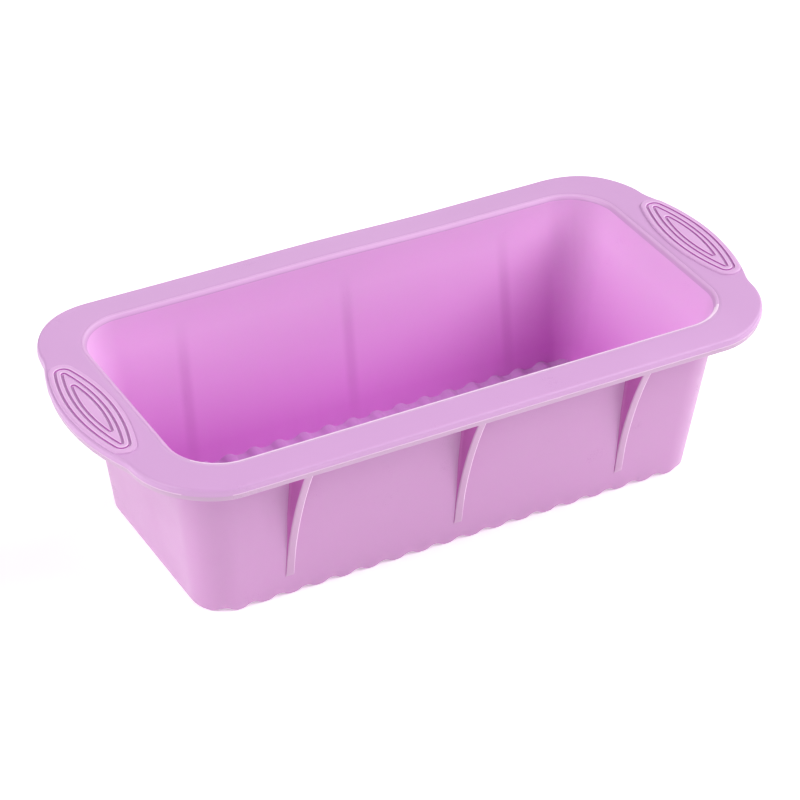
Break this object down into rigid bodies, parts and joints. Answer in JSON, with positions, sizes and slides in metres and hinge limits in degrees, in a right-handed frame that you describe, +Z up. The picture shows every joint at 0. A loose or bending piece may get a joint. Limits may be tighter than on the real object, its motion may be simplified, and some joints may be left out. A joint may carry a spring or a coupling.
{
  "type": "silicone loaf mould",
  "caption": "Tapered silicone loaf mould for soap, with a rippled floor, a wide flat rim, leaf-shaped end grips and fins under the rim.",
  "frame": {"origin": "middle of the plane the mould rests on, under the middle of its floor", "axes": "+X along the length towards the right grip, +Y across the width towards the rear, +Z up out of the mouth"},
  "size_m": [0.25, 0.1222, 0.0661],
  "materials": {
    "silicone": "smooth satin silicone, orchid lilac, slightly translucent",
    "silicone_rim": "smooth satin silicone, orchid lilac, thicker and so more opaque"
  },
  "bodies": {
    "root": {"side_walls": "silicone", "rippled_floor": "silicone", "rim_flange": "silicone_rim", "left_grip_pad": "silicone_rim", "right_grip_pad": "silicone_rim", "front_left_rib": "silicone", "front_middle_rib": "silicone", "front_right_rib": "silicone", "rear_left_rib": "silicone", "rear_middle_rib": "silicone", "rear_right_rib": "silicone"}
  },
  "joints": []
}
